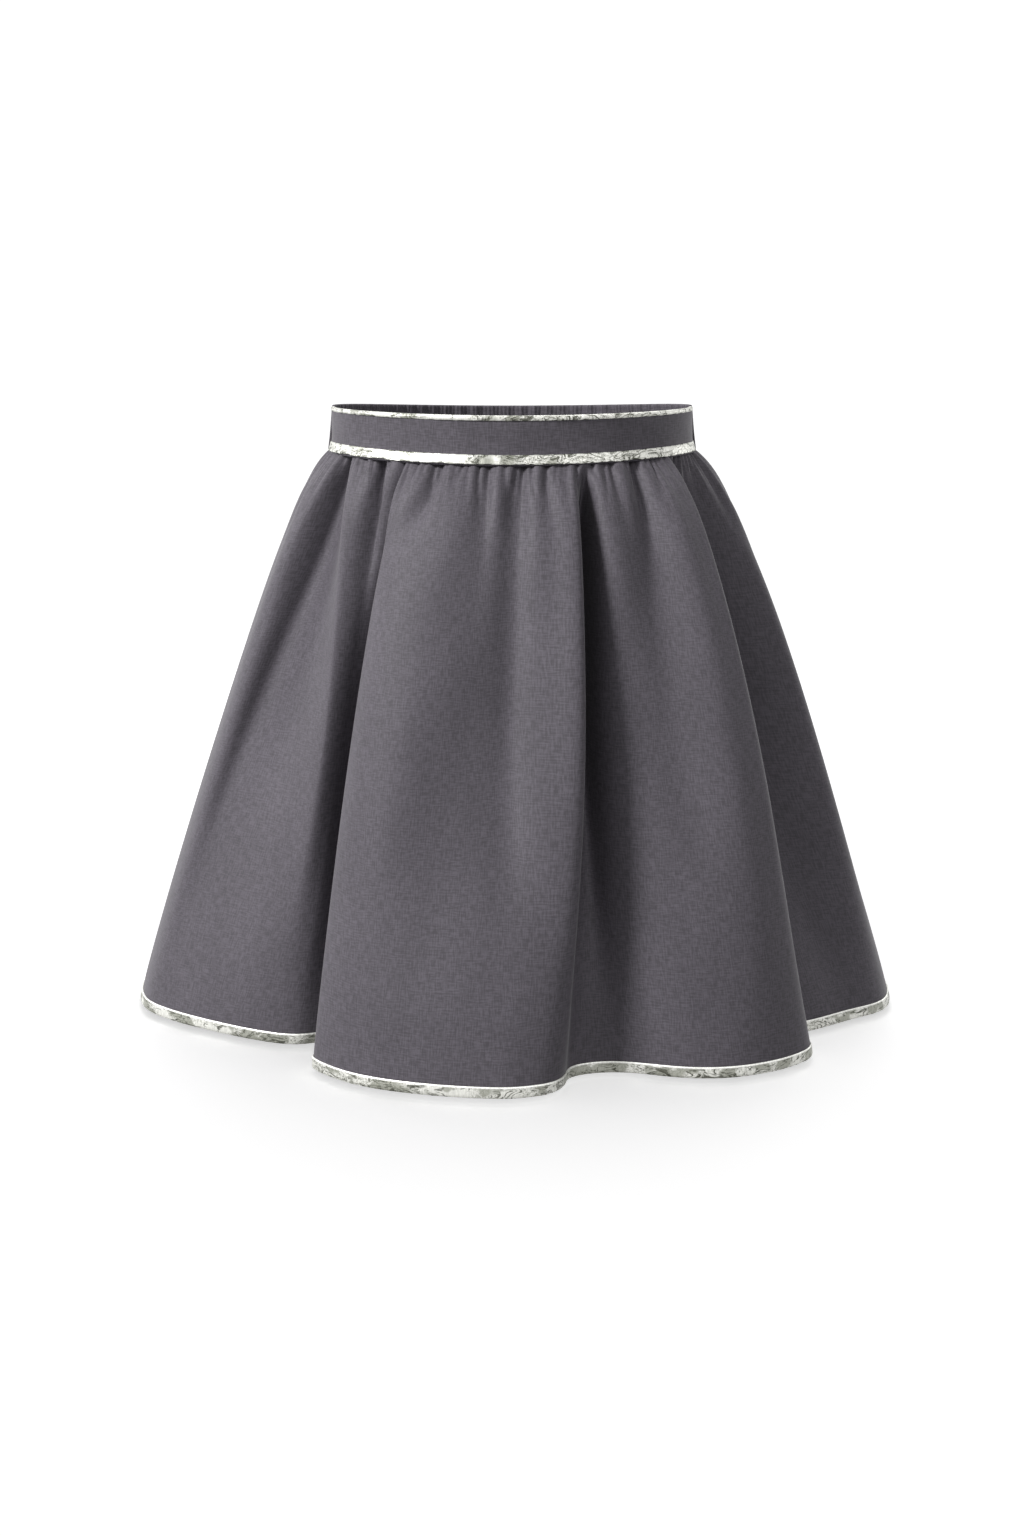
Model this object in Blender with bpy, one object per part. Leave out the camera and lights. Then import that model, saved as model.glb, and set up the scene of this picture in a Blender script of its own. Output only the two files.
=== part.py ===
"""A gathered, flared skirt in plain dark satin, held open at the waist as if worn.

The maker's pieces: a flat front waistband, an elasticated back waistband, a front and a back skirt
panel gathered into them, a narrow trim on the top edge of the front band, a wider trim over the
front waist seam, and one binding round the whole hem.

Metres, +Z up. X runs to the viewer's right, -Y is the front. The origin is the middle of the waist
opening, at the height of the band's top edge at the sides.
"""

import math

import bmesh
import bpy
import numpy as np

MM = 0.001

# Driving sizes
WAIST_ROUND = 0.680  # outside of the waistband, measured round
WAIST_WIDE_TO_DEEP = 1.40  # a general figure's waist is this much wider than deep
SEAM_FLARE = 2.6 * MM  # how far the waist seam stands out from the band's top edge
HEM_LEVEL = -0.420  # the lower edge of the hem binding
CLOTH = 1.2 * MM  # wall of the skirt panels, satin with its seam allowances
BAND = 2.2 * MM  # wall of the waistband, cloth folded over an interlining
TRIM = 1.0 * MM  # wall of the two waist trims
BINDING = 2.4 * MM  # hem binding, folded over the cloth's edge
GAP = 0.3 * MM  # between neighbouring pieces

# The waistband's edges, measured down from the origin, at the side seams and at the two centres
FRONT_TOP_SIDE, FRONT_TOP_CENTRE = 0.7 * MM, 4.2 * MM
BACK_TOP_CENTRE = 3.8 * MM
SEAM_SIDE, SEAM_CENTRE = 30.6 * MM, 35.5 * MM
TOP_TRIM_CENTRE, TOP_TRIM_SIDE = 3.0 * MM, 2.2 * MM
SEAM_TRIM = 6.2 * MM
HEM_BINDING = 7.4 * MM
ELASTIC_RIBS = 36  # gathers of the elasticated back band
ELASTIC_DEPTH = 1.3 * MM

# Folds of the skirt, once round from the left side seam. Each row is the line of one ridge, flank or
# valley: where it leaves the waist (degrees round, 0 at the front, 90 at the right side), where it
# meets the hem (mm), and how far it swings to the right, swells outwards a quarter of the way down, and
# bellies outwards half way down (mm).
FOLD_COLUMNS = ("line", "waist_deg", "hem_x", "hem_y", "swing", "swell", "belly")
FRONT_FOLDS = (
    ("left_side_seam", -90.0, -268, -8, 0, 2, 0),
    ("left_side", -77.0, -264, -46, 0, 2, 0),
    ("left_roll", -67.5, -257, -63, 0, 2, 0),
    ("left_tuck", -61.5, -244, -79, -10, -11, -1),
    ("left_ridge_edge", -59.0, -205, -109, 10, -10, -4),
    ("left_ridge", -56.0, -168, -130, 20, 2, -1),
    ("left_flank", -46.0, -142, -136, 5, -4, 1),
    ("front_tuck_in", -37.0, -116, -130, 2, -2, -26),
    ("front_tuck", -35.2, -101, -146, 2, -3, -34),
    ("front_tuck_out", -34.3, -118, -166, -1, 2, 0),
    ("front_edge", -33.5, -130, -178, -1.5, 3, 2),
    ("front_roll", -31.0, -121, -195, -1.5, 3, 7),
    ("front_shoulder", -25.0, -98, -215, 0, 2, 11),
    ("front_face", -14.0, -60, -231, 0, 3, 8),
    ("front_middle", -3.5, -19, -239, 0, 0, 1),
    ("centre_tuck", 3.5, 2, -239, -2, -3, -1),
    ("centre_ridge", 6.5, 10, -237, -2, 0, 0),
    ("front_right_face", 13.0, 23, -231, 3, 3, 5),
    ("front_right_edge", 19.3, 33, -215, 8, 6, 6),
    ("middle_tuck_in", 20.9, 36, -204, 5, -9, -4),
    ("middle_tuck", 22.8, 53, -193, 4, -26, -14),
    ("right_cone_edge", 25.0, 75, -192, -4, 2, -16),
    ("right_cone_left", 32.0, 104, -200, 0, 6, -6),
    ("right_cone_face", 40.0, 136, -202, 0, -1, 1),
    ("right_cone_front", 47.0, 165, -192, -2, 9, 8),
    ("right_cone_roll", 53.0, 187, -176, -4, 9, 10),
    ("right_cone_lip", 55.6, 198, -160, -5, 9, 8),
    ("right_tuck_in", 57.0, 196, -140, -4, -8, -5),
    ("right_tuck", 59.0, 188, -124, 0, -33, -10),
    ("right_tuck_out", 62.0, 205, -108, 0, -28, -17),
    ("right_flank", 70.0, 238, -83, 0, -13, -15),
    ("right_side", 80.0, 261, -64, 0, 5, 2),
    ("right_side_front", 86.0, 270, -40, 0, 5, 0),
)
BACK_FOLDS = (
    ("right_side_seam", 90.0, 272, -8, 0, 5, 0),
    ("right_back_side", 100.0, 264, 40, 0, 3, 0),
    ("right_back_roll", 111.0, 240, 84, 0, 0, 0),
    ("right_back_tuck_in", 118.0, 208, 104, 0, -4, -6),
    ("right_back_tuck", 121.5, 194, 118, 0, -6, -12),
    ("back_right_edge", 124.0, 193, 140, 0, 0, 2),
    ("back_right_roll", 130.0, 174, 168, 0, 2, 8),
    ("back_right_face", 140.0, 140, 194, 0, 2, 8),
    ("back_right_flank", 150.0, 104, 203, 0, 0, 0),
    ("back_right_slope", 157.0, 76, 194, 0, -2, -4),
    ("back_middle_tuck", 161.0, 58, 182, 0, -12, -14),
    ("back_middle_edge", 164.0, 44, 190, 0, 0, 2),
    ("back_middle_roll", 168.0, 36, 208, 0, 0, 7),
    ("back_middle_shoulder", 176.0, 12, 229, 0, 3, 9),
    ("back_middle_face", 187.0, -26, 237, 0, 2, 4),
    ("back_middle_flank", 198.0, -62, 226, 0, 0, -4),
    ("back_middle_lip", 204.0, -80, 206, 0, 0, 0),
    ("back_left_tuck_in", 206.5, -82, 188, 0, -6, -6),
    ("back_left_tuck", 209.0, -94, 172, 0, -12, -14),
    ("back_left_edge", 214.0, -120, 172, 0, 0, 2),
    ("back_left_face", 223.0, -156, 170, 0, 3, 9),
    ("back_left_roll", 231.0, -186, 150, 0, 0, 7),
    ("back_left_lip", 235.0, -198, 128, 0, 0, 0),
    ("left_back_tuck", 238.5, -202, 106, 0, -8, -10),
    ("left_back_edge", 243.0, -222, 88, 0, 0, 0),
    ("left_back_face", 252.0, -246, 62, 0, 2, 3),
    ("left_back_side", 262.0, -262, 26, 0, 2, 0),
)
SWELL_PEAK = 0.24  # share of the way down at which the swell is greatest
PUFF = 0.065  # the gathers push the cloth out by this share of its flare just under the seam
PUFF_DROP = 0.03  # and do so within this share of the length
BELL = 0.09  # further outward curve of the skirt half way down

# Gathers under the waist seam. Each is a crease: where it leaves the seam (degrees round), how deep
# it is (mm), its half width on the left and on the right at the seam (degrees), how far down it
# fades out (mm), how far it leans by then (degrees), and how much it has widened by then (times).
GATHER_COLUMNS = ("seam_deg", "depth", "left", "right", "reach", "lean", "spread")
FRONT_GATHERS = (
    (-86.5, 4.0, 1.5, 1.5, 25, -1.0, 2.0),
    (-79.5, 5.6, 1.8, 1.4, 45, -1.5, 2.5),
    (-73.5, 3.6, 1.2, 1.2, 22, -0.5, 2.0),
    (-68.0, 5.0, 1.8, 1.2, 40, -1.5, 2.5),
    (-61.0, 12.0, 2.4, 1.8, 100, -2.0, 2.6),
    (-56.6, 3.6, 0.9, 0.9, 18, -0.5, 2.0),
    (-51.6, 5.0, 1.4, 1.2, 24, -1.0, 2.5),
    (-47.0, 3.0, 1.0, 1.0, 16, -0.5, 2.0),
    (-42.8, 12.0, 2.4, 1.2, 66, -1.6, 2.0),
    (-34.2, 7.0, 1.0, 0.8, 18, -1.0, 1.5),
    (-30.6, 3.2, 0.9, 0.9, 14, -1.0, 2.0),
    (-26.6, 2.8, 1.2, 1.0, 16, -2.0, 2.0),
    (-21.4, 9.5, 2.4, 0.9, 48, -7.0, 2.6),
    (-16.8, 4.0, 1.2, 1.2, 16, 0.0, 2.5),
    (-12.8, 4.6, 1.4, 1.0, 22, 0.3, 2.0),
    (-6.8, 9.0, 2.0, 1.2, 80, -2.0, 3.4),
    (-2.0, 4.8, 1.2, 1.0, 20, 1.0, 2.2),
    (3.6, 10.0, 1.9, 1.0, 66, -2.0, 5.0),
    (10.6, 7.4, 1.5, 1.1, 34, 1.0, 2.2),
    (15.0, 4.2, 1.2, 1.0, 16, 0.4, 2.0),
    (19.8, 5.4, 1.0, 0.7, 26, 0.5, 1.4),
    (27.4, 2.6, 0.9, 0.9, 12, 0.0, 2.0),
    (31.0, 7.0, 1.5, 1.0, 30, 0.6, 2.2),
    (39.2, 10.0, 1.6, 1.4, 58, 1.8, 2.4),
    (44.0, 3.0, 0.9, 0.9, 14, 0.4, 2.0),
    (48.6, 4.8, 1.2, 1.0, 22, 1.5, 2.0),
    (52.6, 3.0, 0.9, 0.8, 18, 1.0, 2.0),
    (61.0, 7.0, 1.2, 1.0, 46, 0.8, 2.0),
    (65.8, 4.0, 1.0, 1.0, 26, 1.0, 2.0),
    (70.4, 5.0, 1.2, 1.2, 40, 1.6, 2.2),
    (74.6, 3.4, 1.0, 1.0, 22, 0.8, 2.0),
    (78.2, 6.4, 1.6, 1.4, 60, 2.4, 2.4),
    (84.5, 4.4, 1.4, 1.6, 34, 1.0, 2.0),
)
BACK_GATHERS = 34

# Long soft hollows in the hanging cloth, between the folds: where the middle starts and ends (degrees
# round, and mm below the seam), how deep it gets (mm), and its half width on the left and on the right.
HOLLOW_COLUMNS = ("upper_deg", "upper_drop", "lower_deg", "lower_drop", "depth", "left", "right")
HOLLOWS = (
    (0.5, 50, -15.0, 340, 12.5, 12.0, 18.0),
    (-47.0, 90, -50.0, 360, 3.0, 6.0, 4.0),
    (46.0, 60, 40.0, 300, 2.0, 6.0, 6.0),
    (148.0, 60, 154.0, 340, 5.0, 9.0, 9.0),
    (193.0, 40, 186.0, 330, 9.0, 10.0, 10.0),
    (228.0, 60, 224.0, 320, 5.0, 8.0, 8.0),
)

# Facets of the solids
SKIRT_COLUMNS = 118  # on each panel
BAND_COLUMNS = 56
RIB_COLUMNS = 5  # on each elastic gather
SKIRT_ROWS = (0.0, 0.014, 0.032, 0.055, 0.085, 0.125, 0.18, 0.26, 0.37, 0.51, 0.67, 0.84, 1.0)

WAIST_SHAPE = WAIST_WIDE_TO_DEEP
# Ramanujan's formula gives an ellipse's perimeter for a half depth of 1.
UNIT_ROUND = math.pi * (
    3 * (1 + WAIST_SHAPE) - math.sqrt((3 + WAIST_SHAPE) * (1 + 3 * WAIST_SHAPE))
)
WAIST_HALF_DEEP = WAIST_ROUND / UNIT_ROUND
WAIST_HALF_WIDE = WAIST_HALF_DEEP * WAIST_SHAPE


def waist_ring(degrees, out=0.0):
    """Points (x, y) of the waist's ellipse, moved out, at these angles round from the front."""
    turn = np.radians(degrees)
    return np.stack(
        [(WAIST_HALF_WIDE + out) * np.sin(turn), -(WAIST_HALF_DEEP + out) * np.cos(turn)], -1
    )


def ring_outward(degrees):
    """The ellipse's outward direction (x, y) at these angles."""
    turn = np.radians(degrees)
    out = np.stack([WAIST_HALF_DEEP * np.sin(turn), -WAIST_HALF_WIDE * np.cos(turn)], -1)
    return out / np.linalg.norm(out, axis=-1, keepdims=True)


def centre_share(degrees):
    """0 at the side seams and 1 at the front and back centres."""
    return np.cos(np.radians(degrees)) ** 2


def seam_level(degrees):
    return -(SEAM_SIDE + (SEAM_CENTRE - SEAM_SIDE) * centre_share(degrees))


def closed_spline(knots, values, at):
    """A smooth closed curve through the values: a periodic cubic spline. knots has one more entry than values."""
    steps = np.diff(knots)
    count = len(steps)
    system = np.zeros((count, count))
    wanted = np.zeros((count, values.shape[1]))
    for i in range(count):
        before, after = steps[i - 1], steps[i]
        system[i, i - 1] += before
        system[i, i] += 2 * (before + after)
        system[i, (i + 1) % count] += after
        rise = (values[(i + 1) % count] - values[i]) / after
        fall = (values[i] - values[i - 1]) / before
        wanted[i] = 6 * (rise - fall)
    bend = np.linalg.solve(system, wanted)
    at = np.mod(at - knots[0], knots[-1] - knots[0]) + knots[0]
    i = np.clip(np.searchsorted(knots, at, side="right") - 1, 0, count - 1)
    j = (i + 1) % count
    step = steps[i][:, None]
    left = (knots[i + 1] - at)[:, None]
    right = (at - knots[i])[:, None]
    return (
        bend[i] * left**3 / (6 * step)
        + bend[j] * right**3 / (6 * step)
        + (values[i] / step - bend[i] * step / 6) * left
        + (values[j] / step - bend[j] * step / 6) * right
    )


def rising_curve(knots, values, at):
    """A curve through rising values that never turns back (Fritsch and Carlson's cubic)."""
    steps = np.diff(knots)
    slopes = np.diff(values) / steps
    tangents = np.concatenate([[slopes[0]], 2 / (1 / slopes[:-1] + 1 / slopes[1:]), [slopes[-1]]])
    i = np.clip(np.searchsorted(knots, at, side="right") - 1, 0, len(steps) - 1)
    t = (at - knots[i]) / steps[i]
    return (
        values[i] * (1 + 2 * t) * (1 - t) ** 2
        + tangents[i] * steps[i] * t * (1 - t) ** 2
        + values[i + 1] * t**2 * (3 - 2 * t)
        + tangents[i + 1] * steps[i] * t**2 * (t - 1)
    )


def fold_columns(folds):
    """The fold table's columns as arrays, by name, in degrees and metres."""
    table = {name: np.array([row[k] for row in folds]) for k, name in enumerate(FOLD_COLUMNS)}
    for name in ("hem_x", "hem_y", "swing", "swell", "belly"):
        table[name] = table[name] * MM
    return table


class Drape:
    """The skirt's surface: a point for each place round the cloth and each share of the way down."""

    def __init__(self):
        folds = fold_columns(FRONT_FOLDS + BACK_FOLDS)
        hem = np.stack([folds["hem_x"], folds["hem_y"]], -1)
        chords = np.linalg.norm(np.roll(hem, -1, axis=0) - hem, axis=1)
        self.knots = np.concatenate([[0.0], np.cumsum(chords)])
        bulges = [folds["swing"], folds["swell"], folds["belly"]]
        self.values = np.concatenate([hem, np.stack(bulges, -1)], -1)
        self.waist = np.append(folds["waist_deg"], 270.0)
        self.side = self.knots[len(FRONT_FOLDS)]  # where the right side seam is
        self.round = self.knots[-1]
        self.gathers = [*FRONT_GATHERS, *back_gathers()]

    def waist_degrees(self, along):
        laps = np.floor(along / self.round)
        return rising_curve(self.knots, self.waist, along - laps * self.round) + 360 * laps

    def gather_depth(self, degrees, drop):
        """How far the gathers' creases press the cloth in, at these places and drops below the seam."""
        depth = np.zeros(degrees.shape)
        start = 0.6 + 0.4 * (1 - np.exp(-drop / (5 * MM)))
        sharp = 1.25 + 0.75 * (1 - np.exp(-drop / (25 * MM)))
        for seam_deg, deep, left, right, reach, lean, spread in self.gathers:
            down = drop / (reach * MM)
            middle = seam_deg + lean * np.minimum(down, 1.2) ** 2
            away = np.mod(degrees - middle + 180, 360) - 180
            half = np.where(away < 0, left, right) * (1 + (spread - 1) * np.minimum(down, 1.5))
            near = np.abs(away) < 4 * half
            shape = np.exp(-((np.abs(away[near]) / half[near]) ** sharp[near]))
            depth[near] += deep * MM * start[near] * np.exp(-(down[near] ** 1.6)) * shape
        return depth

    def hollow_depth(self, degrees, drop):
        """How far the long hollows press the cloth in."""
        depth = np.zeros(degrees.shape)
        for upper_deg, upper_drop, lower_deg, lower_drop, deep, left, right in HOLLOWS:
            down = (drop / MM - upper_drop) / (lower_drop - upper_drop)
            away = np.mod(degrees - upper_deg - (lower_deg - upper_deg) * down + 180, 360) - 180
            across = np.exp(-((away / np.where(away < 0, left, right)) ** 2))
            depth += deep * MM * np.sin(np.pi * np.clip(down, 0, 1)) ** 1.3 * across
        return depth

    def surface(self, along, down):
        """Points at these lengths along the hem and shares of the way down, as arrays of one shape."""
        shape = np.broadcast(along, down).shape
        along = np.broadcast_to(along, shape).ravel()
        down = np.broadcast_to(down, shape).ravel()
        hem = closed_spline(self.knots, self.values, along)
        degrees = self.waist_degrees(along)
        start = waist_ring(degrees, SEAM_FLARE)
        top = seam_level(degrees)
        below = np.clip(down, 0, 1)
        puff = PUFF * (1 - np.exp(-below / PUFF_DROP)) * np.sqrt(1 - below)
        share = down + puff + BELL * down * (1 - down)
        plan = start + (hem[:, :2] - start) * share[:, None]
        outward = ring_outward(degrees)
        sideways = np.stack([-outward[:, 1], outward[:, 0]], -1)
        swing = hem[:, 2] * np.sin(np.pi * below)
        swell = hem[:, 3] * below / SWELL_PEAK * np.exp(1 - below / SWELL_PEAK) * (1 - below**4)
        belly = hem[:, 4] * np.sin(np.pi * below) ** 1.5
        level = top + (HEM_LEVEL - top) * down
        drop = np.maximum(top - level, 0)
        pressed = self.gather_depth(degrees, drop) + self.hollow_depth(degrees, drop)
        plan = plan + sideways * swing[:, None] + outward * (swell + belly - pressed)[:, None]
        return np.concatenate([plan, level[:, None]], -1).reshape(*shape, 3)

    def skins(self, along, down, outer, inner):
        """The two faces of a wall: rows of points this far outside the surface and this far inside it.

        The directions come from the neighbouring points, also past the wall's ends, so that two
        pieces that meet at a seam share them.
        """
        along = np.concatenate([[2 * along[0] - along[1]], along, [2 * along[-1] - along[-2]]])
        down = np.concatenate([[down[0] - 0.01], down, [down[-1] + 0.01]])
        points = self.surface(along[None, :], down[:, None])
        across = points[1:-1, 2:] - points[1:-1, :-2]
        drop = points[2:, 1:-1] - points[:-2, 1:-1]
        normal = np.cross(drop, across)
        normal /= np.linalg.norm(normal, axis=-1, keepdims=True)
        middle = points[1:-1, 1:-1]
        return middle + outer * normal, middle - inner * normal


def back_gathers():
    """Creases of the back panel, evenly spread and then shifted so that no two are alike."""
    rows = []
    for k in range(BACK_GATHERS):
        wobble = math.sin(2.3 * k) + 0.6 * math.sin(5.1 * k + 1)
        seam_deg = 90 + 180 * (k + 0.5) / BACK_GATHERS + 0.9 * wobble
        width = 1.3 + 0.2 * wobble
        reach = 40 + 22 * math.sin(1.7 * k + 0.4) + 10 * wobble
        rows.append((seam_deg, 5.0 + 1.6 * wobble, width, 2.6 - width, reach, 1.4 * wobble, 2.4))
    return rows


def cloth_material(name, colour, roughness, metallic=0.0):
    material = bpy.data.materials.new(name)
    material.use_nodes = True
    shader = material.node_tree.nodes["Principled BSDF"]
    shader.inputs["Base Color"].default_value = (*colour, 1)
    shader.inputs["Roughness"].default_value = roughness
    shader.inputs["Metallic"].default_value = metallic
    return material


def wall(name, outer, inner, material, closed=False):
    """A cloth wall between two grids of points, rows downwards, columns to the right from outside."""
    rows, columns = outer.shape[:2]
    shape = bmesh.new()
    skins = [
        [[shape.verts.new(point) for point in row] for row in skin] for skin in (outer, inner)
    ]
    front, back = skins
    spans = [(c, (c + 1) % columns) for c in range(columns if closed else columns - 1)]
    for c, d in spans:
        for r in range(rows - 1):
            shape.faces.new((front[r][c], front[r + 1][c], front[r + 1][d], front[r][d]))
            shape.faces.new((back[r][d], back[r + 1][d], back[r + 1][c], back[r][c]))
        shape.faces.new((back[0][c], front[0][c], front[0][d], back[0][d]))
        shape.faces.new((front[-1][c], back[-1][c], back[-1][d], front[-1][d]))
    if not closed:
        for r in range(rows - 1):
            shape.faces.new((back[r][0], back[r + 1][0], front[r + 1][0], front[r][0]))
            shape.faces.new((front[r][-1], front[r + 1][-1], back[r + 1][-1], back[r][-1]))
    mesh = bpy.data.meshes.new(name)
    shape.to_mesh(mesh)
    shape.free()
    mesh.materials.append(material)
    piece = bpy.data.objects.new(name, mesh)
    bpy.context.scene.collection.objects.link(piece)
    return piece


def skirt_panel(name, drape, start, end, material):
    """One skirt panel, from the waist seam down to the top of the hem binding."""
    along = np.linspace(start + GAP, end - GAP, 2000)
    waist = drape.waist_degrees(along)
    spread = (along - along[0]) / np.ptp(along) + (waist - waist[0]) / np.ptp(waist)
    along = np.interp(np.linspace(0, 2, SKIRT_COLUMNS + 1), spread, along)
    full = -HEM_LEVEL - SEAM_SIDE
    first, last = GAP / full, 1 - (HEM_BINDING + GAP) / full
    down = first + np.array(SKIRT_ROWS) * (last - first)
    return wall(name, *drape.skins(along, down, 0.0, CLOTH), material)


def hem_binding(name, drape, material):
    """The strip folded over the hem, all the way round."""
    along = np.linspace(0, drape.round, 2 * SKIRT_COLUMNS, endpoint=False)
    down = np.array([1 - HEM_BINDING / (-HEM_LEVEL - SEAM_SIDE), 1.0])
    proud = (BINDING - CLOTH) / 2
    return wall(name, *drape.skins(along, down, proud, CLOTH + proud), material, closed=True)


def band(name, degrees, edges, thickness, material):
    """A strip round part of the waist. edges has the level and the distance out of each edge, top first."""
    skins = []
    for depth in (0.0, thickness):
        rows = [
            np.concatenate([waist_ring(degrees) + ring_outward(degrees) * (out - depth)[:, None],
                            level[:, None]], -1)
            for level, out in edges
        ]
        skins.append(np.stack(rows))
    return wall(name, *skins, material)


def arc(start, columns, gap):
    """Angles over half of the waist, short of the side seams by half a gap."""
    short = math.degrees(gap / 2 / WAIST_HALF_DEEP)
    return np.linspace(start + short, start + 180 - short, columns + 1)


def front_top(degrees):
    return -(FRONT_TOP_SIDE + (FRONT_TOP_CENTRE - FRONT_TOP_SIDE) * centre_share(degrees))


def front_waistband(name, material):
    degrees = arc(-90, BAND_COLUMNS, GAP)
    level = np.zeros_like(degrees)
    edges = ((front_top(degrees), level), (seam_level(degrees) + GAP, level + SEAM_FLARE))
    return band(name, degrees, edges, BAND, material)


def back_waistband(name, material):
    """The elasticated band: upright gathers all along it."""
    degrees = arc(90, ELASTIC_RIBS * RIB_COLUMNS, GAP)
    ribs = np.cos(np.radians((degrees - 90) * 2 * ELASTIC_RIBS))
    out = -ELASTIC_DEPTH * (1 - ribs) / 2
    top = -BACK_TOP_CENTRE * centre_share(degrees)
    edges = ((top, out), (seam_level(degrees) + GAP, out + SEAM_FLARE))
    return band(name, degrees, edges, BAND, material)


def top_trim(name, material):
    """The narrow trim on the front band's top edge."""
    degrees = arc(-90, BAND_COLUMNS, GAP)
    top = front_top(degrees)
    width = TOP_TRIM_SIDE + (TOP_TRIM_CENTRE - TOP_TRIM_SIDE) * centre_share(degrees)
    out = np.full_like(degrees, GAP + TRIM)
    return band(name, degrees, ((top, out), (top - width, out + 0.4 * MM)), TRIM, material)


def seam_trim(name, material):
    """The wider trim that covers the front waist seam."""
    degrees = arc(-90, BAND_COLUMNS, GAP)
    bottom = seam_level(degrees)
    out = np.full_like(degrees, GAP + TRIM + SEAM_FLARE)
    return band(name, degrees, ((bottom + SEAM_TRIM, out), (bottom + GAP, out)), TRIM, material)


def main():
    for old in list(bpy.data.objects):
        bpy.data.objects.remove(old)
    satin = cloth_material("grey_satin", (0.120, 0.112, 0.124), 0.55)
    brocade = cloth_material("silver_brocade", (0.66, 0.67, 0.63), 0.45, 0.2)
    drape = Drape()
    skirt_panel("skirt_front", drape, 0.0, drape.side, satin)
    skirt_panel("skirt_back", drape, drape.side, drape.round, satin)
    front_waistband("waistband_front", satin)
    back_waistband("waistband_back", satin)
    top_trim("trim_top_edge", brocade)
    seam_trim("trim_waist_seam", brocade)
    hem_binding("hem_binding", drape, brocade)


main()
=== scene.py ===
import math

import bmesh
import bpy
import numpy as np
from mathutils import Matrix, Vector


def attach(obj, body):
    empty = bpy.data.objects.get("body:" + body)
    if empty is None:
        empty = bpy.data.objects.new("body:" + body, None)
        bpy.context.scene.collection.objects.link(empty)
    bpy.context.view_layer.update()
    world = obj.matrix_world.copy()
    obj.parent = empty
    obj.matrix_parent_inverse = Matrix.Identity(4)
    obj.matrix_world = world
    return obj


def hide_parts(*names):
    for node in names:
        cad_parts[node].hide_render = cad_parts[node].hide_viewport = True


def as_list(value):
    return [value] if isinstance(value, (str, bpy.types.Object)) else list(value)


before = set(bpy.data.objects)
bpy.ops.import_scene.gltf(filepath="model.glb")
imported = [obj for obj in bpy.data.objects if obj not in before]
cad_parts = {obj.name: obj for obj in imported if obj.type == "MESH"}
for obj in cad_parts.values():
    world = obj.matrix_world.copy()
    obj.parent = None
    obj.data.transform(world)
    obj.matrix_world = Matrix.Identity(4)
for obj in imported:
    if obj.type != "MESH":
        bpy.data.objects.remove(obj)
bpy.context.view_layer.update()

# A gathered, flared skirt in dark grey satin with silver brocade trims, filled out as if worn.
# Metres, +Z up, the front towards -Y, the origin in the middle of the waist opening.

MM = 0.001

# The part's own sizes, as its solids have them
WAIST_ROUND = 0.680
WAIST_WIDE_TO_DEEP = 1.40
SEAM_FLARE = 2.6 * MM
HEM_LEVEL = -0.420
FRONT_TOP_SIDE, FRONT_TOP_CENTRE = 0.7 * MM, 4.2 * MM
BACK_TOP_CENTRE = 3.8 * MM
SEAM_SIDE, SEAM_CENTRE = 30.6 * MM, 35.5 * MM
TOP_TRIM_CENTRE, TOP_TRIM_SIDE = 3.0 * MM, 2.2 * MM
SEAM_TRIM = 6.2 * MM
HEM_BINDING = 7.4 * MM
BAND = 2.2 * MM

# Cloth as it is sewn
SATIN = 0.6 * MM  # skirt cloth with its fused backing
FRONT_TUCK_SIDE = 0.8 * MM  # how far the front band's ends are tucked below the back band's edge
FRONT_BAND_BELOW, BACK_BAND_BELOW = 1.0 * MM, 0.6 * MM  # how far the bands run on below the waist seam
BAND_LEAN = 0.4 * MM  # how far the front band leans out, before it turns out over the gathers
BAND_RIPPLE = 0.1 * MM
EDGE_STEPS = 6  # steps of a band's round top edge
TRIM_THINNED = 0.7  # share of its thickness that a waist trim loses towards the side seams
TOP_TRIM_WAVES = ((67, 0.08 * MM), (113, 0.06 * MM))  # waves to the turn round the waist, and their height
SEAM_TRIM_WAVES = ((83, 0.06 * MM), (131, 0.05 * MM))
STITCH_LENGTH, STITCH_GAP, STITCH_WIDE = 2.2 * MM, 0.8 * MM, 0.45 * MM
STITCH_INSET = 0.9 * MM  # from the binding's upper edge down to the row of stitches
ELASTIC_RIBS = 36
ELASTIC_DEPTH = 1.3 * MM
FINE_RIB = 2.7 * MM  # between the fine pleats that the elastic draws up
FINE_RIB_DEPTH = 0.45 * MM

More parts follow.
